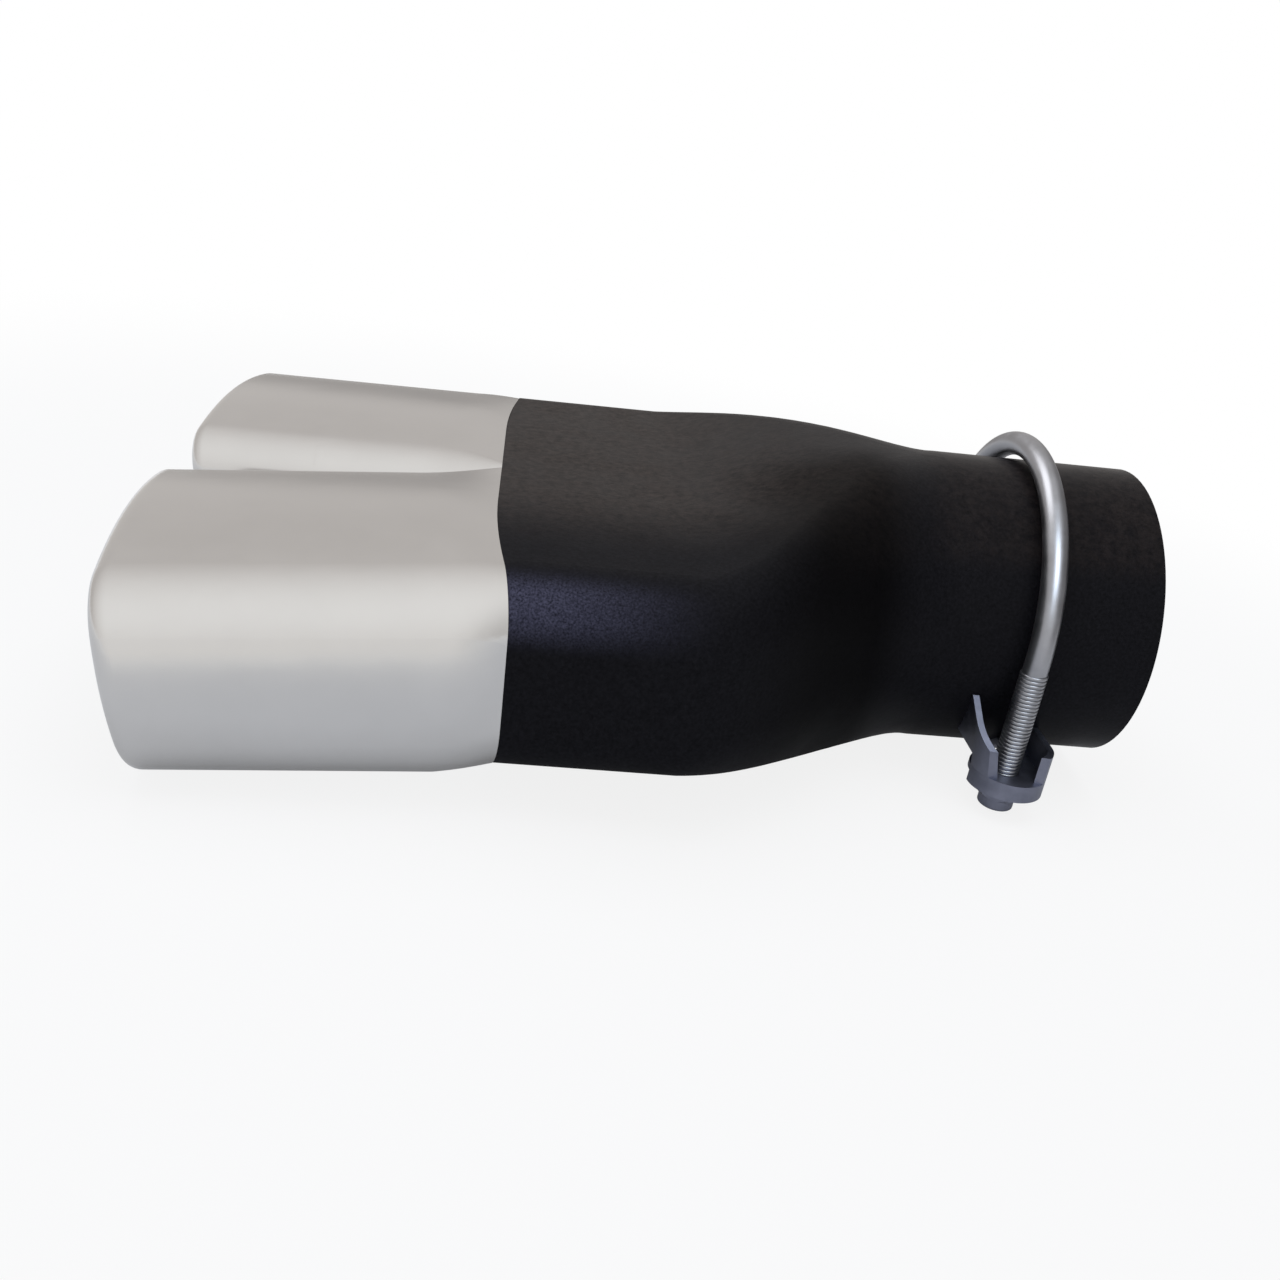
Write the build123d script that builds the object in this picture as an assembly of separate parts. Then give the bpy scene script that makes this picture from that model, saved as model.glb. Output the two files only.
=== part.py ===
from build123d import *
import math
import os

# Twin exhaust tip: +X runs out of the inlet along the tail pipe, +Y is left, +Z is up.
# The origin is the centre of the inlet's open end. Lengths are in millimetres, angles in degrees.

# Inlet, which slips over the tail pipe
tail_pipe_diameter = 70.0
tail_pipe_clearance = 0.5
inlet_length = 50.0

# Painted body: a wide flat mouth that narrows through a throat into the round inlet
body_sheet = 1.5
body_length = 159.7
body_width = 159.4
body_height = 45.1
body_corner = 13.0
mouth_length = 42.7
mouth_flat = 60.0
mouth_bow = 4.6
mouth_rise = 1.7
throat_lift = 1.0
throat_sections = 9
throat_height_share = 0.82
throat_corner_share = 0.92
least_side = 0.4
circle_side_angle = 2.0

# Polished outlets, spread apart and cut on a slant with the upper edge further out
outlet_sheet = 1.2
outlet_width = 80.7
outlet_swell = 0.85
outlet_taper = 2.6
outlet_corner = 14.5
outlet_inner_corner = 11.0
outlet_crown = 2.3
outlet_side_crown = 1.0
outlet_length = 74.7
outlet_rise = 0.5
outlet_drop = 0.8
outlet_splay = 8.4
outlet_slash = 8.7
outlet_plan_cut = 3.9
rim_radius = 3.6
neck_length = 20.0
neck_sections = 5
neck_lead = 0.5
crease_corner = 2.0
spigot_length = 10.0
seam_step = 0.3
seam_clearance = 0.05

# Clamp: a bent rod with threaded ends, a pressed saddle and two hexagon lock nuts, leaning a little
clamp_position = -30.5
clamp_lean = 3.0
rod_diameter = 6.0
rod_gap = 1.1
rod_end_beyond_nut = 0.4
rod_end_chamfer = 0.3
saddle_sheet = 1.6
saddle_width = 18.8
saddle_offset = 1.0
saddle_seat_gap = 0.05
saddle_ear_height = -28.5
saddle_ear_margin = 8.6
saddle_lip_depth = 4.3
saddle_wall_margin = 5.5
saddle_wall_foot = 3.0
saddle_wall_height = 7.0
saddle_wall_lean = 9.0
saddle_horn_height = 16.3
saddle_horn_width = 0.9
saddle_strap_width = 7.0
rod_hole_diameter = 7.0
nut_across_flats = 10.0
nut_height = 5.0
nut_chamfer = 0.7
nut_collar_diameter = 8.7
nut_collar_height = 3.0
nut_collar_round = 0.6
nut_thread_clearance = 0.05

# Sizes that follow from those above
inlet_bore_radius = tail_pipe_diameter / 2 + tail_pipe_clearance
inlet_radius = inlet_bore_radius + body_sheet
mouth_turned_part = (body_width - mouth_flat) / 2
mouth_edge_radius = (mouth_turned_part ** 2 + mouth_bow ** 2) / (2 * mouth_bow)
mouth_turn = math.degrees(math.atan2(mouth_bow, body_width / 2))
mouth_half_width = body_width / 2 - body_sheet
mouth_half_height = body_height / 2 - body_sheet
outlet_height = body_height + 2 * outlet_swell
outlet_end_height = outlet_height - outlet_taper
tube_length = outlet_length - neck_length
rod_leg_offset = inlet_radius + rod_gap + rod_diameter / 2
saddle_seat_radius = inlet_radius + saddle_seat_gap
saddle_ear_radius = saddle_width / 2
saddle_ear_centre = rod_leg_offset + saddle_ear_margin - saddle_ear_radius
saddle_ear_underside = saddle_ear_height - saddle_sheet
saddle_lip_end = saddle_ear_height - saddle_lip_depth
nut_underside = saddle_ear_underside - nut_height
nut_collar_end = nut_underside - nut_collar_height
rod_end_height = nut_collar_end - rod_end_beyond_nut
clamp_place = Pos(clamp_position, 0, 0) * Rot(0, clamp_lean, 0)


def cross_plane(x, z=0.0):
    """Plane square to the inlet axis at x, raised by z, with its own x along +Y and its own y along +Z."""
    return Plane(origin=(x, 0, z), x_dir=(0, 1, 0), z_dir=(1, 0, 0))


def mix(start, end, share):
    """Value that runs from start to end as share runs from 0 to 1."""
    return start + (end - start) * share


def ease(travel):
    """Share that starts and ends gently as travel runs from 0 to 1, and stays at 1 beyond."""
    travel = min(travel, 1)
    return travel * travel * (3 - 2 * travel)


def rounded_section(inner, outer, half_height, inner_corner, outer_corner, crown=0.0, side_crown=0.0):
    """Rounded rectangle; crowns bulge its roof and floor, and its outer side, out by that much."""
    inner_centre = inner + inner_corner
    outer_centre = outer - outer_corner
    inner_side = half_height - inner_corner
    outer_side = half_height - outer_corner
    inner_turn = 90.0
    outer_turn = 90.0
    side_turn = 0.0
    if crown:
        lean = crown * (inner_corner - outer_corner) / (outer_centre - inner_centre)
        middle = (inner_centre + outer_centre) / 2 - lean
        reach = outer_centre - middle
        radius = (reach ** 2 + crown ** 2) / (2 * crown) + outer_corner
        centre = half_height + crown - radius
        outer_turn = math.degrees(math.atan2(outer_side - centre, outer_centre - middle))
        inner_turn = math.degrees(math.atan2(inner_side - centre, middle - inner_centre))
        span = 180 - outer_turn - inner_turn
        roof = CenterArc((middle, centre), radius, outer_turn, span)
        floor = CenterArc((middle, -centre), radius, 180 + inner_turn, span)
    else:
        roof = Line((outer_centre, half_height), (inner_centre, half_height))
        floor = Line((inner_centre, -half_height), (outer_centre, -half_height))
    if side_crown:
        radius = (outer_side ** 2 + side_crown ** 2) / (2 * side_crown) + outer_corner
        centre = outer + side_crown - radius
        side_turn = math.degrees(math.atan2(outer_side, outer_centre - centre))
        side = CenterArc((centre, 0), radius, -side_turn, 2 * side_turn)
    else:
        side = Line((outer, -outer_side), (outer, outer_side))
    edges = [
        side,
        CenterArc((outer_centre, outer_side), outer_corner, side_turn, outer_turn - side_turn),
        roof,
        CenterArc((inner_centre, inner_side), inner_corner, 180 - inner_turn, inner_turn),
        Line((inner, inner_side), (inner, -inner_side)),
        CenterArc((inner_centre, -inner_side), inner_corner, 180, inner_turn),
        floor,
        CenterArc((outer_centre, -outer_side), outer_corner, -outer_turn, outer_turn - side_turn),
    ]
    return make_face(edges)


def split_circle(radius):
    """Circle cut into four short sides and four corners, in step with a rounded section."""
    edges = []
    for quarter in range(4):
        side_start = 90 * quarter - circle_side_angle / 2
        edges.append(CenterArc((0, 0), radius, side_start, circle_side_angle))
        edges.append(CenterArc((0, 0), radius, side_start + circle_side_angle, 90 - circle_side_angle))
    return make_face(edges)


def body_section(travel, inset):
    """Section of the body, from the mouth (travel 0) towards the round inlet (travel 1)."""
    half_width = mix(body_width / 2, inlet_radius, ease(travel))
    half_height = mix(body_height / 2, inlet_radius, ease(travel / throat_height_share))
    corner = mix(body_corner, inlet_radius, ease(travel / throat_corner_share))
    corner = min(corner, half_width - least_side, half_height - least_side) - inset
    return rounded_section(inset - half_width, half_width - inset, half_height - inset, corner, corner)


def body_rise(travel):
    """Height of the body's middle above the inlet axis, nil once the section is as high as the inlet."""
    reached = min(travel / throat_height_share, 1)
    return mix(mouth_rise, 0, ease(reached) ** 2) + throat_lift * math.sin(math.pi * reached)


def body_form(inset):
    """Solid inside the body's surface, which is moved in by inset all round."""
    mouth_end = mouth_length - body_length
    mouth = extrude(cross_plane(-body_length, body_rise(0)) * body_section(0, inset), mouth_length)
    sections = []
    for step in range(throat_sections - 1):
        travel = step / (throat_sections - 1)
        plane = cross_plane(mix(mouth_end, -inlet_length, travel), body_rise(travel))
        sections.append(plane * body_section(travel, inset))
    sections.append(cross_plane(-inlet_length) * split_circle(inlet_radius - inset))
    throat = loft(sections)
    inlet = extrude(cross_plane(-inlet_length) * Circle(inlet_radius - inset), inlet_length)
    return mouth + throat + inlet


def mouth_disc(gap):
    """Broad disc whose edge bows the end of the body's mouth, grown by gap all round."""
    disc = Rot(0, 0, 90) * SlotCenterToCenter(mouth_flat, 2 * (mouth_edge_radius + gap))
    return extrude(Pos(mouth_edge_radius - body_length, 0) * disc, body_height, both=True)


def make_body():
    """Open sheet body: mouth, throat and inlet in one piece, with the end of the mouth bowed out."""
    return (body_form(0) - body_form(body_sheet)) & mouth_disc(0)


def outlet_plane(share):
    """Plane across the left outlet's neck, at its inner wall, turning from the seam to the splayed tube."""
    distance = neck_length * share
    angle = math.radians(mix(mouth_turn, outlet_splay, share))
    inner_wall = seam_clearance + distance * math.tan(math.radians(outlet_splay))
    return Plane(
        origin=(neck_lead - body_length - distance, inner_wall, mix(mouth_rise, outlet_rise, share)),
        x_dir=(math.sin(angle), math.cos(angle), 0),
        z_dir=(math.cos(angle), -math.sin(angle), 0),
    )


def spigot_form(inset):
    """Solid inside the spigot that stands in the left half of the body's mouth."""
    outer = mouth_half_width - 2 * seam_clearance - inset
    half_height = mouth_half_height - seam_clearance - inset
    outer_corner = body_corner - body_sheet - inset
    section = rounded_section(inset, outer, half_height, crease_corner - inset, outer_corner)
    start = cross_plane(-body_length - neck_lead, mouth_rise) * Pos(seam_clearance, 0)
    return extrude(start * section, neck_lead + spigot_length)


def neck_section(share, inset, seam_inset):
    """Section of the left outlet's neck, from the seam (share 0) to the tube (share 1)."""
    bulge = math.sin(math.radians(90 * share))
    seam_outer = (body_width / 2 - seam_inset) / math.cos(math.radians(mouth_turn))
    outer = mix(seam_outer, outlet_width - inset, bulge)
    half_height = mix(body_height / 2 - seam_inset, outlet_height / 2 - inset, bulge)
    outer_corner = mix(body_corner - seam_inset, outlet_corner - inset, bulge)
    inner_corner = mix(crease_corner, outlet_inner_corner, bulge) - inset
    crowns = (outlet_crown * bulge, outlet_side_crown * bulge)
    return rounded_section(inset, outer, half_height, inner_corner, outer_corner, *crowns)


def tube_form(inset):
    """Solid inside the left outlet's straight tube, which tapers in height and runs on past its cut end."""
    start = outlet_plane(1)
    inner_corner = outlet_inner_corner - inset
    outer_corner = outlet_corner - inset
    sections = []
    for travel in (0, 1 + outlet_width / tube_length):
        half_height = mix(outlet_height, outlet_end_height, travel) / 2 - inset
        outer = outlet_width - inset
        crowns = (outlet_crown, outlet_side_crown)
        section = rounded_section(inset, outer, half_height, inner_corner, outer_corner, *crowns)
        sections.append(start * Pos(0, -outlet_drop * travel, -tube_length * travel) * section)
    return loft(sections)


def cut_tube_form(inset):
    """Tube form with its end cut on the slant, set in by inset and rounded over."""
    end_plane = Plane(
        origin=(-body_length - outlet_length, outlet_width / 2, 0),
        z_dir=(1, -math.tan(math.radians(outlet_plan_cut)), math.tan(math.radians(outlet_slash))),
    )
    tube = split(tube_form(inset), bisect_by=end_plane.offset(inset), keep=Keep.TOP)
    end_face = tube.faces().sort_by(Axis.X)[0]
    return fillet(end_face.edges(), rim_radius - inset)


def neck_form(inset, seam_inset):
    """Solid inside the left outlet's neck, which starts a little way inside the body's mouth."""
    sections = []
    for step in range(neck_sections):
        share = step / (neck_sections - 1)
        sections.append(outlet_plane(share) * neck_section(share, inset, seam_inset))
    return loft(sections)


def make_left_outlet():
    """Left outlet: spigot, neck, tapering tube and a rim rolled in round its opening."""
    spigot_inset = body_sheet + seam_clearance + outlet_sheet
    neck = neck_form(0, seam_step) - mouth_disc(seam_clearance)
    outside = spigot_form(0) + neck + cut_tube_form(0)
    hollow = spigot_form(outlet_sheet) + neck_form(outlet_sheet, spigot_inset) + cut_tube_form(outlet_sheet)
    return outside - hollow - tube_form(rim_radius)


def make_u_bolt():
    """Rod bent over the inlet, with two straight legs that end in chamfers."""
    path = Line((rod_leg_offset, rod_end_height), (rod_leg_offset, 0))
    path += CenterArc((0, 0), rod_leg_offset, 0, 180)
    path += Line((-rod_leg_offset, 0), (-rod_leg_offset, rod_end_height))
    path = cross_plane(0) * path
    start = Plane(origin=(0, rod_leg_offset, rod_end_height), z_dir=(0, 0, 1))
    bolt = sweep(start * Circle(rod_diameter / 2), path=path)
    ends = bolt.faces().filter_by(GeomType.PLANE)
    return clamp_place * chamfer(ends.edges(), rod_end_chamfer)


def saddle_side_outline(foot_height, top_height):
    """Outline of one side of the saddle seen along the pipe: lips, walls and their rise towards the pipe."""
    ear_end = saddle_ear_centre + saddle_ear_radius
    wall_end = rod_leg_offset + saddle_wall_margin
    wall_foot = saddle_ear_height + foot_height
    wall_top = saddle_ear_height + saddle_wall_height
    rise_top = saddle_ear_height + top_height
    rise_end = math.sqrt(inlet_radius ** 2 - rise_top ** 2) + saddle_horn_width
    left_half = [
        (saddle_ear_centre, wall_foot),
        (saddle_ear_centre, saddle_lip_end),
        (ear_end, saddle_lip_end),
        (ear_end, saddle_ear_height),
        (wall_end, saddle_ear_height),
        (wall_end, wall_top),
        (rise_end, rise_top),
    ]
    right_half = [(-y, z) for y, z in reversed(left_half)]
    return Polygon(*left_half, *right_half, align=None)


def make_saddle():
    """Pressed saddle: two round ears with a turned-down lip, side walls and a strap under the pipe."""
    outline = Rot(0, 0, 90) * SlotCenterToCenter(2 * saddle_ear_centre, saddle_width)
    pocket = offset(outline, amount=-saddle_sheet)
    lip = Pos(0, 0, saddle_lip_end) * (outline - pocket)
    upright_rim = extrude(lip, saddle_lip_depth + saddle_wall_height)
    ear_top = Pos(0, 0, saddle_ear_height)
    leaning_wall = extrude(ear_top * outline, saddle_horn_height, taper=-saddle_wall_lean)
    leaning_wall -= extrude(ear_top * pocket, saddle_horn_height, taper=-saddle_wall_lean)
    leaning_rim = extrude(lip, saddle_lip_depth) + leaning_wall
    horned_outline = saddle_side_outline(saddle_wall_foot, saddle_horn_height)
    low_outline = saddle_side_outline(-saddle_sheet, saddle_wall_height)
    horned_side = extrude(cross_plane(0) * horned_outline, -saddle_width)
    low_side = extrude(cross_plane(0) * low_outline, saddle_width)
    saddle = (leaning_rim & horned_side) + (upright_rim & low_side)
    seat_depth = 2 * inlet_radius
    strap = Circle(saddle_seat_radius + saddle_sheet)
    strap &= Pos(0, saddle_ear_underside - seat_depth / 2) * Rectangle(2 * seat_depth, seat_depth)
    strap_middle = saddle_ear_radius - saddle_strap_width / 2
    saddle += extrude(cross_plane(strap_middle - saddle_strap_width / 2) * strap, saddle_strap_width)
    web = Pos(strap_middle, 0) * Rectangle(saddle_strap_width, 2 * saddle_ear_centre)
    for side in (-1, 1):
        web += Pos(0, side * saddle_ear_centre) * Circle(saddle_ear_radius)
        web -= Pos(-saddle_offset, side * rod_leg_offset) * Circle(rod_hole_diameter / 2)
    saddle += extrude(Pos(0, 0, saddle_ear_underside) * web, saddle_sheet)
    seat = extrude(cross_plane(-body_length) * Circle(saddle_seat_radius), 2 * body_length)
    return clamp_place * Pos(saddle_offset, 0, 0) * saddle - seat


def make_nuts():
    """Two hexagon lock nuts with round collars, one on each threaded end, against the saddle's ears."""
    corner_radius = nut_across_flats / math.sqrt(3)
    nuts = []
    for leg in (-rod_leg_offset, rod_leg_offset):
        seat = Pos(0, leg, nut_underside)
        collar_seat = Pos(0, leg, nut_collar_end)
        hexagon = RegularPolygon(nut_across_flats / 2, 6, major_radius=False, rotation=90)
        prism = extrude(seat * hexagon, nut_height)
        turned = extrude(seat * Circle(corner_radius), nut_height)
        turned = chamfer(turned.edges().filter_by(GeomType.CIRCLE), nut_chamfer)
        collar = extrude(collar_seat * Circle(nut_collar_diameter / 2), nut_collar_height)
        collar = fillet(collar.edges().filter_by(GeomType.CIRCLE).sort_by(Axis.Z)[0], nut_collar_round)
        bore = Circle(rod_diameter / 2 + nut_thread_clearance)
        bore = extrude(collar_seat * bore, nut_collar_height + nut_height)
        nuts.append(clamp_place * ((prism & turned) + collar - bore))
    return Compound(children=nuts)


os.makedirs("parts", exist_ok=True)
left_outlet = make_left_outlet()
export_step(make_body(), "parts/body.step")
export_step(left_outlet, "parts/outlet_left.step")
export_step(mirror(left_outlet, about=Plane.XZ), "parts/outlet_right.step")
export_step(make_u_bolt(), "parts/u_bolt.step")
export_step(make_saddle(), "parts/saddle.step")
export_step(make_nuts(), "parts/clamp_nuts.step")
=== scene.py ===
import math

import bpy
from mathutils import Matrix, Vector


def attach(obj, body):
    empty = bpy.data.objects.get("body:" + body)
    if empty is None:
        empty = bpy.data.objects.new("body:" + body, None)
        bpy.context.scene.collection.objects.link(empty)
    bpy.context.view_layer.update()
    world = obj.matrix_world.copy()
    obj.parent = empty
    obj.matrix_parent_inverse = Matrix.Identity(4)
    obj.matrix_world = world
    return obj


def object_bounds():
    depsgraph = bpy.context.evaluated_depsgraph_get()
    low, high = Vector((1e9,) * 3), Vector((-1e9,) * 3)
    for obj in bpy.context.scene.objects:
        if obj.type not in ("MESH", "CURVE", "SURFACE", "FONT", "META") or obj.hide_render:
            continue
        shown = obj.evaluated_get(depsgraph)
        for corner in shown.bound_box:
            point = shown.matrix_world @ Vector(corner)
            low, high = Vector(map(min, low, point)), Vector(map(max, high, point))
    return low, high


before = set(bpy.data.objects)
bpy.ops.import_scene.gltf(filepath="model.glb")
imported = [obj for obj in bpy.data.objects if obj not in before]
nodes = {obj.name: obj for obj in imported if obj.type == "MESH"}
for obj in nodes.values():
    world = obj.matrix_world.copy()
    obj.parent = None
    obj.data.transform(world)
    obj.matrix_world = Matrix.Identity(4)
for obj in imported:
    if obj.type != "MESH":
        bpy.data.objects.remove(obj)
cad_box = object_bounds()

# Lengths are in metres: +X runs out of the inlet, +Y is left and +Z is up.

# Camera, fitted to the photograph's view of the tip
camera_target = Vector((-0.12029, 0, -0.01999))
camera_distance = 0.35806
camera_yaw = math.radians(6.29)
camera_elevation = math.radians(23.31)
camera_roll = math.radians(7.23)
camera_lens = 38.34
camera_sensor = 36
camera_clip = 0.01

# Floor: the tip rests on the belly of its body and on the lower edges of its outlets
floor_size = 1.0
floor_gap = 0.0001
floor_tilt = math.radians(4.25)
floor_colour = (0.7, 0.73, 0.79, 1)
floor_camera_share = 0.85
floor_mirror_share = 0.15
floor_shadow_reach = 0.2
floor_mirror_reach = 0.09
floor_white_reach = 0.45
pure_white = (1, 1, 1, 1)

# Dome of light: it glows in front, and is dim low down at the back and at the inlet's end
dome_back_colour = (1, 0.955, 0.92)
dome_glow_colour = (1, 0.99, 0.975)
dome_level = 0.71
dome_glow = 0.46
dome_glow_direction = (0.1, -0.7, 0.7)
dome_glow_start = -0.2
dome_glow_end = 1.0
dome_low_direction = (0, 0.995, -0.1)
dome_low_start = 0.92
dome_low_end = 0.985
dome_low_share = 0.58
dome_inlet_direction = (1, 0, 0)
dome_inlet_start = 0.3
dome_inlet_end = 0.8
dome_inlet_share = 0.35
ambient_share = 0.65

# Lamps: one over the tip, and two that shine on the clamp alone
overhead_lamp_size = 0.9
overhead_lamp_height = 0.8
overhead_lamp_energy = 3.8
side_lamp_size = 0.55
side_lamp_direction = (0.1, -0.68, 0.7)
side_lamp_distance = 0.9
side_lamp_energy = 5.2
side_lamp_colour = (0.76, 0.88, 1)
rod_lamp_size = 0.5
rod_lamp_direction = (-0.4, 0.35, 0.85)
rod_lamp_distance = 0.7
rod_lamp_energy = 2.4

# Threads on the clamp rod's straight legs, above the saddle
rod_radius = 0.003
rod_leg_offset = 0.0411
clamp_position = -0.0305
clamp_lean = math.radians(3)
thread_top = -0.0025
thread_bottom = -0.0295
thread_pitch = 0.001
thread_ridge = 0.0002
thread_lift = 0.00015
thread_ridge_points = 8
thread_steps = 32

# Polished steel, with a slight haze and faint polishing lines
steel_colours = ((0.57, 0.565, 0.56), (0.6, 0.595, 0.59))
steel_roughness = (0.15, 0.22)
steel_haze_scale = 45
steel_line_scale = 900
steel_line_stretch = (0.04, 1, 1)
steel_line_strength = 0.12
steel_line_depth = 0.00001

# Black paint: its colours, its grain, and the parts of the body that carry a painted bluish sheen, a
# painted warm highlight or painted shade
paint_specular = 0.04
paint_roughness = (0.3, 0.38)
dull_paint_roughness = 0.26
black_colours = ((0.0038, 0.0039, 0.0052), (0.0104, 0.0105, 0.0134))
# Speckled colours of the painted bluish sheen along the upper corners near the outlets
painted_sheen_colours = ((0.011, 0.0115, 0.021), (0.077, 0.08, 0.132))
# Mottled warm colours of the painted highlight on the top
painted_top_highlight_colours = ((0.005, 0.0038, 0.0036), (0.037, 0.0292, 0.0276))
top_highlight_mottle = (0.36, 0.64)
# Darker colours of the painted shade in the throat
throat_shade_colours = ((0.0008, 0.0008, 0.0011), (0.0026, 0.0025, 0.0032))
paint_grain_scale = 1300
paint_grain_strength = 0.4
paint_grain_depth = 0.00008
paint_peel_scale = 420
paint_peel_strength = 0.25
paint_peel_depth = 0.0001
paint_speck_scale = 2200
paint_mottle_scale = 450
paint_blotch_scale = 60
# Heights and length of the band of painted sheen
painted_sheen_lower_edge = (0.009, 0.018)
painted_sheen_upper_edge = (0.0208, 0.0244)
painted_sheen_end = (-0.155, -0.110)
near_side = (-0.060, -0.015)
# Height, length and shares of the painted warm highlight on the top
top_highlight_height = (0.0180, 0.0235)
top_highlight_fading_from_seam = (-0.140, -0.040)
top_highlight_inlet_start = (-0.065, -0.045)
top_highlight_inlet_share = 0.45
top_highlight_least_share = 0.55
# Where the painted shade lies in the throat, on its near side
throat_shade_start = (-0.112, -0.085)
throat_shade_end = (-0.074, -0.058)
throat_shade_side = (-0.020, 0.010)

# Zinc plate: brighter on the rod; the saddle and the nuts get a darker, duller copy whose darker colour is
# painted shade from the body above them
bright_zinc_colours = ((0.27, 0.275, 0.295), (0.33, 0.335, 0.36))
bright_zinc_roughness = 0.3
# Darker colours that paint the shade on the saddle and the nuts
shaded_zinc_colours = ((0.145, 0.155, 0.2), (0.215, 0.225, 0.285))
dull_zinc_roughness = 0.36
zinc_roughness_range = 0.12
zinc_mottle_scale = 160
zinc_grain_scale = 1400
zinc_grain_strength = 0.2
zinc_grain_depth = 0.00003


def add_node(owner, kind, **values):
    """Node of a material's or world's tree, with its named inputs set."""
    node = owner.node_tree.nodes.new(kind)
    for name, value in values.items():
        node.inputs[name.replace("_", " ")].default_value = value
    return node


def add_link(owner, output, target):
    """Link between two sockets of a material's or world's tree."""
    owner.node_tree.links.new(output, target)


def spread(owner, factor, low, high, start=0.3, end=0.7):
    """Value socket that runs from low to high as the factor runs from start to end."""
    span = add_node(owner, "ShaderNodeMapRange", From_Min=start, From_Max=end, To_Min=low, To_Max=high)
    add_link(owner, factor, span.inputs["Value"])
    return span.outputs["Result"]


def fade(owner, value, start, end, low=0.0, high=1.0):
    """Value socket that eases from low to high as another one runs from start to end."""
    span = add_node(owner, "ShaderNodeMapRange", From_Min=start, From_Max=end, To_Min=low, To_Max=high)
    span.interpolation_type = "SMOOTHSTEP"
    add_link(owner, value, span.inputs["Value"])
    return span.outputs["Result"]


def combine(owner, operation, first, *others):
    """Value socket of several sockets taken together, two at a time."""
    result = first
    for other in others:
        node = add_node(owner, "ShaderNodeMath")
        node.operation = operation
        add_link(owner, result, node.inputs[0])
        add_link(owner, other, node.inputs[1])
        result = node.outputs[0]
    return result


def two_tone(owner, factor, dark, light, start=0.3, end=0.7):
    """Colour socket that runs from dark to light as the factor runs from start to end."""
    ramp = add_node(owner, "ShaderNodeValToRGB")
    ramp.color_ramp.elements[0].position = start
    ramp.color_ramp.elements[0].color = (*dark, 1)
    ramp.color_ramp.elements[1].position = end
    ramp.color_ramp.elements[1].color = (*light, 1)
    add_link(owner, factor, ramp.inputs["Fac"])
    return ramp.outputs["Color"]


def blend(owner, factor, first, second):
    """Colour socket that runs from the first colour to the second as the factor runs from 0 to 1."""
    both = add_node(owner, "ShaderNodeMix")
    both.data_type = "RGBA"
    add_link(owner, factor, both.inputs["Factor"])
    add_link(owner, first, both.inputs[6])
    add_link(owner, second, both.inputs[7])
    return both.outputs[2]


def mix_shaders(owner, factor, first, second, output):
    """Joins two shaders, the second by the factor's share, and sends them to the output node."""
    both = add_node(owner, "ShaderNodeMixShader")
    add_link(owner, factor, both.inputs[0])
    add_link(owner, first.outputs[0], both.inputs[1])
    add_link(owner, second.outputs[0], both.inputs[2])
    add_link(owner, both.outputs[0], output.inputs["Surface"])


def new_finish(name):
    """Node material with a Principled shader: the material and its shader."""
    material = bpy.data.materials.new(name)
    material.use_nodes = True
    return material, material.node_tree.nodes["Principled BSDF"]


def noise(material, scale, detail=4.0, roughness=0.5, stretch=(1, 1, 1)):
    """Noise socket on object coordinates; scale is in cycles to the metre."""
    place = add_node(material, "ShaderNodeTexCoord")
    mapping = add_node(material, "ShaderNodeMapping", Scale=stretch)
    texture = add_node(material, "ShaderNodeTexNoise", Scale=scale, Detail=detail, Roughness=roughness)
    add_link(material, place.outputs["Object"], mapping.inputs["Vector"])
    add_link(material, mapping.outputs["Vector"], texture.inputs["Vector"])
    return texture.outputs["Fac"]


def bump(material, height, strength, depth, under=None):
    """Normal socket with the height's relief, depth metres high, over another normal if one is given."""
    relief = add_node(material, "ShaderNodeBump", Strength=strength, Distance=depth)
    add_link(material, height, relief.inputs["Height"])
    if under:
        add_link(material, under, relief.inputs["Normal"])
    return relief.outputs["Normal"]


def polished_steel():
    """Mirror-polished stainless steel with faint polishing lines and a slight haze."""
    material, shader = new_finish("polished_steel")
    shader.inputs["Metallic"].default_value = 1
    haze = noise(material, steel_haze_scale, detail=6, roughness=0.6)
    lines = noise(material, steel_line_scale, detail=3, stretch=steel_line_stretch)
    relief = bump(material, lines, steel_line_strength, steel_line_depth)
    add_link(material, two_tone(material, haze, *steel_colours), shader.inputs["Base Color"])
    add_link(material, spread(material, haze, *steel_roughness), shader.inputs["Roughness"])
    add_link(material, relief, shader.inputs["Normal"])
    return material


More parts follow.
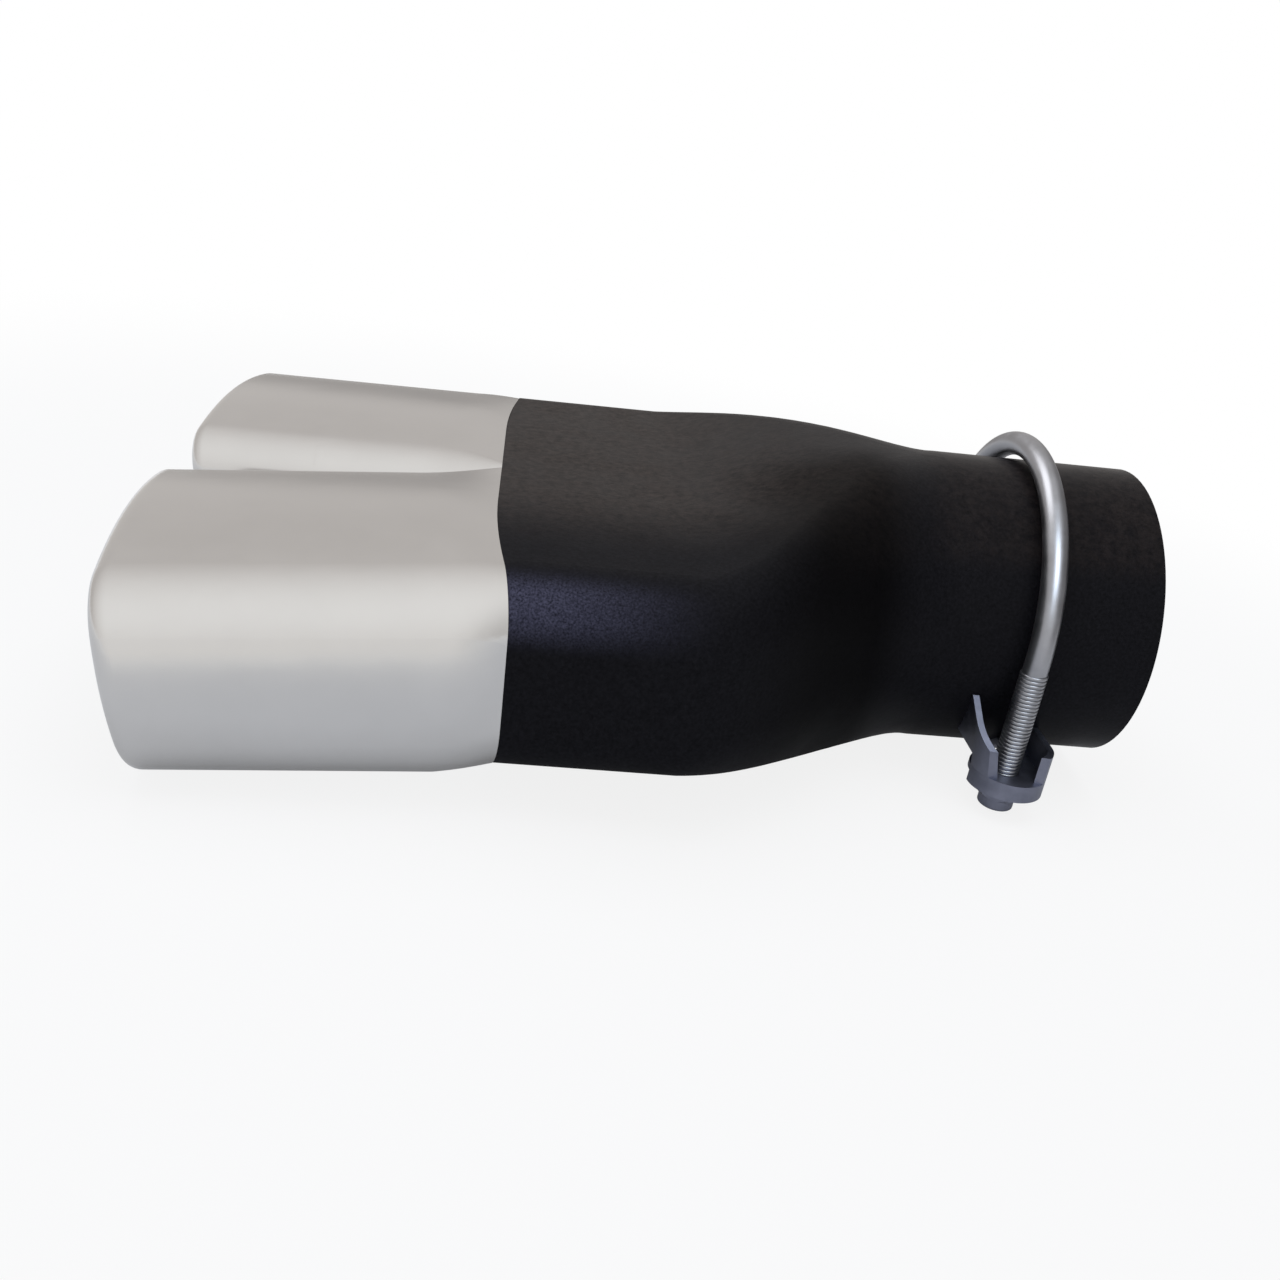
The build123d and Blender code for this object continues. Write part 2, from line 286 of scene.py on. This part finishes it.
def black_paint():
    """Sprayed matt black paint, with a painted warm highlight on top, painted shade at the throat and a
    painted bluish sheen along the upper corners.
    """
    material, shader = new_finish("black_paint")
    shader.inputs["Specular IOR Level"].default_value = paint_specular
    place = add_node(material, "ShaderNodeTexCoord")
    axes = add_node(material, "ShaderNodeSeparateXYZ")
    add_link(material, place.outputs["Object"], axes.inputs["Vector"])
    along = axes.outputs["X"]
    across = axes.outputs["Y"]
    height = axes.outputs["Z"]
    grain = noise(material, paint_grain_scale, detail=5, roughness=0.65)
    speck = noise(material, paint_speck_scale, detail=3, roughness=0.6)
    mottle = noise(material, paint_mottle_scale, detail=6, roughness=0.75)
    peel = noise(material, paint_peel_scale, detail=2)
    blotch = noise(material, paint_blotch_scale, detail=6, roughness=0.6)

    # Mask of the painted sheen: a bluish reflection band along the upper corners near the outlets
    painted_sheen = combine(
        material,
        "MULTIPLY",
        fade(material, height, *painted_sheen_lower_edge),
        fade(material, height, *painted_sheen_upper_edge, 1, 0),
        fade(material, along, *painted_sheen_end, 1, 0),
    )
    # Mask of the painted warm highlight: on the top, away from the near side, strongest by the seam
    top_highlight_length = combine(
        material,
        "MAXIMUM",
        fade(material, along, *top_highlight_fading_from_seam, 1, 0),
        fade(material, along, *top_highlight_inlet_start, 0, top_highlight_inlet_share),
    )
    painted_top_highlight = combine(
        material,
        "MULTIPLY",
        fade(material, across, *near_side),
        fade(material, height, *top_highlight_height),
        top_highlight_length,
        spread(material, blotch, top_highlight_least_share, 1),
    )
    # Mask of the painted shade in the throat's near side; the paint is also rougher there
    painted_throat_shade = combine(
        material,
        "MULTIPLY",
        fade(material, along, *throat_shade_start),
        fade(material, along, *throat_shade_end, 1, 0),
        fade(material, across, *throat_shade_side, 1, 0),
    )
    dull = combine(material, "MAXIMUM", fade(material, across, *near_side, 1, 0), painted_throat_shade)

    black = two_tone(material, grain, *black_colours)
    # Colour of the painted shade in the throat
    throat_shade_colour = two_tone(material, grain, *throat_shade_colours)
    # Mottled colour of the painted warm highlight on the top
    top_highlight_colour = two_tone(material, mottle, *painted_top_highlight_colours, *top_highlight_mottle)
    # Speckled colour of the painted sheen
    sheen_colour = two_tone(material, speck, *painted_sheen_colours)
    # Painted warm highlight on the top over the black, which has painted shade in the throat
    outside_sheen = blend(material, painted_top_highlight, blend(material, painted_throat_shade, black, throat_shade_colour), top_highlight_colour)
    # The painted sheen lies over the rest of the paint
    add_link(material, blend(material, painted_sheen, outside_sheen, sheen_colour), shader.inputs["Base Color"])
    roughness = combine(
        material,
        "ADD",
        spread(material, blotch, *paint_roughness),
        spread(material, dull, 0, dull_paint_roughness, 0, 1),
    )
    add_link(material, roughness, shader.inputs["Roughness"])
    coarse = bump(material, peel, paint_peel_strength, paint_peel_depth)
    relief = bump(material, grain, paint_grain_strength, paint_grain_depth, coarse)
    add_link(material, relief, shader.inputs["Normal"])
    return material


def zinc_plate(name, colours, roughness):
    """Bluish zinc plate with a soft mottle."""
    material, shader = new_finish(name)
    shader.inputs["Metallic"].default_value = 1
    mottle = noise(material, zinc_mottle_scale, detail=5, roughness=0.6)
    grain = noise(material, zinc_grain_scale, detail=3)
    dullness = spread(material, mottle, roughness, roughness + zinc_roughness_range)
    relief = bump(material, grain, zinc_grain_strength, zinc_grain_depth)
    add_link(material, two_tone(material, mottle, *colours), shader.inputs["Base Color"])
    add_link(material, dullness, shader.inputs["Roughness"])
    add_link(material, relief, shader.inputs["Normal"])
    return material


def paint_node(name, material):
    """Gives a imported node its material."""
    mesh = nodes[name].data
    mesh.materials.clear()
    mesh.materials.append(material)


def floor_finish():
    """Pale matt floor that turns white away from the tip, where it is seen directly or mirrored."""
    material = bpy.data.materials.new("floor_white")
    material.use_nodes = True
    material.node_tree.nodes.clear()
    output = add_node(material, "ShaderNodeOutputMaterial")
    matt = add_node(material, "ShaderNodeBsdfDiffuse", Color=floor_colour)
    white = add_node(material, "ShaderNodeEmission", Color=pure_white, Strength=1)
    place = add_node(material, "ShaderNodeTexCoord")
    distance = add_node(material, "ShaderNodeVectorMath")
    distance.operation = "LENGTH"
    add_link(material, place.outputs["Object"], distance.inputs[0])
    rays = add_node(material, "ShaderNodeLightPath")
    shares = []
    for ray, near_share, near_reach in (
        ("Is Camera Ray", floor_camera_share, floor_shadow_reach),
        ("Is Glossy Ray", floor_mirror_share, floor_mirror_reach),
        ("Is Transmission Ray", floor_mirror_share, floor_mirror_reach),
    ):
        share = fade(material, distance.outputs["Value"], near_reach, floor_white_reach, near_share, 1)
        shares.append(combine(material, "MULTIPLY", rays.outputs[ray], share))
    mix_shaders(material, combine(material, "MAXIMUM", *shares), matt, white, output)
    return material


def add_floor():
    """Floor that the belly of the body and the outlets' lower edges stand on."""
    upright = Matrix.Rotation(floor_tilt, 3, "Y") @ Vector((0, 0, 1))
    lowest = min(
        upright.dot(node.matrix_world @ point.co) for node in nodes.values() for point in node.data.vertices
    )
    middle = (cad_box[0].x + cad_box[1].x) / 2
    height = (lowest - floor_gap - upright.x * middle) / upright.z
    place = (middle, 0, height)
    bpy.ops.mesh.primitive_plane_add(size=floor_size, location=place, rotation=(0, floor_tilt, 0))
    floor = bpy.context.object
    floor.name = "floor"
    floor.data.materials.append(floor_finish())


def toward(world, direction):
    """Value socket that rises to 1 as a ray turns towards a direction."""
    place = add_node(world, "ShaderNodeTexCoord")
    along = add_node(world, "ShaderNodeVectorMath")
    along.operation = "DOT_PRODUCT"
    along.inputs[1].default_value = Vector(direction).normalized()
    add_link(world, place.outputs["Generated"], along.inputs[0])
    return along.outputs["Value"]


def add_world():
    """White background for the camera, and the dome of light for everything else."""
    world = bpy.data.worlds.new("studio")
    bpy.context.scene.world = world
    world.use_nodes = True
    world.node_tree.nodes.clear()
    output = add_node(world, "ShaderNodeOutputWorld")
    path = add_node(world, "ShaderNodeLightPath")
    ahead = spread(world, toward(world, dome_glow_direction), 0, 1, dome_glow_start, dome_glow_end)
    inlet_end = toward(world, dome_inlet_direction)
    low_back = toward(world, dome_low_direction)
    strength = combine(
        world,
        "MULTIPLY",
        spread(world, ahead, dome_level, dome_level + dome_glow, 0, 1),
        fade(world, low_back, dome_low_start, dome_low_end, 1, dome_low_share),
        fade(world, inlet_end, dome_inlet_start, dome_inlet_end, 1, dome_inlet_share),
        spread(world, path.outputs["Is Diffuse Ray"], 1, ambient_share, 0, 1),
    )
    dome = add_node(world, "ShaderNodeBackground")
    colour = two_tone(world, ahead, dome_back_colour, dome_glow_colour, 0, 1)
    add_link(world, colour, dome.inputs["Color"])
    add_link(world, strength, dome.inputs["Strength"])
    white = add_node(world, "ShaderNodeBackground", Color=pure_white, Strength=1)
    mix_shaders(world, path.outputs["Is Camera Ray"], dome, white, output)


def add_lamp(name, direction, distance, size, energy):
    """Soft square lamp that shines on the middle of the tip from a direction."""
    middle = (cad_box[0] + cad_box[1]) / 2
    place = middle + distance * Vector(direction).normalized()
    bpy.ops.object.light_add(type="AREA", location=place)
    lamp = bpy.context.object
    lamp.name = name
    lamp.rotation_euler = (middle - place).to_track_quat("-Z", "Y").to_euler()
    lamp.data.size = size
    lamp.data.energy = energy
    return lamp


def add_thread(name, side, finish):
    """Helical ridge of the thread on one leg of the clamp rod."""
    bpy.ops.mesh.primitive_circle_add(vertices=thread_ridge_points, radius=thread_ridge, fill_type="NGON")
    thread = bpy.context.object
    thread.name = name
    bpy.ops.object.mode_set(mode="EDIT")
    bpy.ops.mesh.select_all(action="SELECT")
    bpy.ops.transform.rotate(value=math.pi / 2, orient_axis="X", center_override=(0, 0, 0))
    bpy.ops.transform.resize(value=(1, 1, thread_pitch / 2 / thread_ridge), center_override=(0, 0, 0))
    bpy.ops.transform.translate(value=(rod_radius + thread_lift, 0, thread_bottom))
    bpy.ops.mesh.delete(type="ONLY_FACE")
    bpy.ops.object.mode_set(mode="OBJECT")
    screw = thread.modifiers.new("screw", "SCREW")
    screw.axis = "Z"
    screw.screw_offset = thread_pitch
    screw.iterations = round((thread_top - thread_bottom) / thread_pitch)
    screw.steps = thread_steps
    screw.render_steps = thread_steps
    bpy.ops.object.modifier_apply(modifier="screw")
    bpy.ops.object.mode_set(mode="EDIT")
    bpy.ops.mesh.select_all(action="SELECT")
    bpy.ops.mesh.normals_make_consistent(inside=False)
    bpy.ops.object.mode_set(mode="OBJECT")
    bpy.ops.object.shade_smooth()
    clamp_place = Matrix.Translation((clamp_position, 0, 0)) @ Matrix.Rotation(clamp_lean, 4, "Y")
    thread.matrix_world = clamp_place @ Matrix.Translation((0, side * rod_leg_offset, 0))
    bpy.ops.object.transform_apply()
    thread.data.materials.append(finish)
    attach(thread, "root")
    return thread


def add_camera():
    """Camera at the photograph's viewing angle."""
    forward = Vector((
        math.sin(camera_yaw) * math.cos(camera_elevation),
        math.cos(camera_yaw) * math.cos(camera_elevation),
        -math.sin(camera_elevation),
    ))
    level_right = Vector((math.cos(camera_yaw), -math.sin(camera_yaw), 0))
    level_up = level_right.cross(forward)
    right = math.cos(camera_roll) * level_right + math.sin(camera_roll) * level_up
    up = math.cos(camera_roll) * level_up - math.sin(camera_roll) * level_right
    bpy.ops.object.camera_add()
    camera = bpy.context.object
    turn = Matrix((right, up, -forward)).transposed()
    camera.matrix_world = Matrix.Translation(camera_target - camera_distance * forward) @ turn.to_4x4()
    camera.data.lens = camera_lens
    camera.data.sensor_width = camera_sensor
    camera.data.clip_start = camera_clip
    bpy.context.scene.camera = camera


# Studio
bpy.ops.object.select_all(action="DESELECT")
bpy.context.scene.view_settings.view_transform = "Standard"
add_camera()
add_world()
add_floor()
overhead_lamp = add_lamp(
    "overhead_lamp", (0, 0, 1), overhead_lamp_height, overhead_lamp_size, overhead_lamp_energy
)
overhead_lamp.visible_glossy = False
side_lamp = add_lamp(
    "side_lamp", side_lamp_direction, side_lamp_distance, side_lamp_size, side_lamp_energy
)
side_lamp.data.color = side_lamp_colour
rod_lamp = add_lamp("rod_lamp", rod_lamp_direction, rod_lamp_distance, rod_lamp_size, rod_lamp_energy)

# Outlets and body
steel = polished_steel()
paint_node("outlet_left", steel)
paint_node("outlet_right", steel)
paint_node("body", black_paint())

# Clamp
bright_zinc = zinc_plate("bright_zinc", bright_zinc_colours, bright_zinc_roughness)
# Darker copy of the zinc, with painted shade, for the saddle and the nuts
dull_shaded_zinc = zinc_plate("dull_shaded_zinc", shaded_zinc_colours, dull_zinc_roughness)
paint_node("u_bolt", bright_zinc)
paint_node("saddle", dull_shaded_zinc)
paint_node("clamp_nuts", dull_shaded_zinc)
threads = [add_thread("thread_left", 1, bright_zinc), add_thread("thread_right", -1, bright_zinc)]
clamp_group = bpy.data.collections.new("clamp")
for piece in (nodes["u_bolt"], nodes["saddle"], nodes["clamp_nuts"], *threads):
    clamp_group.objects.link(piece)
for lamp in (side_lamp, rod_lamp):
    lamp.light_linking.receiver_collection = clamp_group
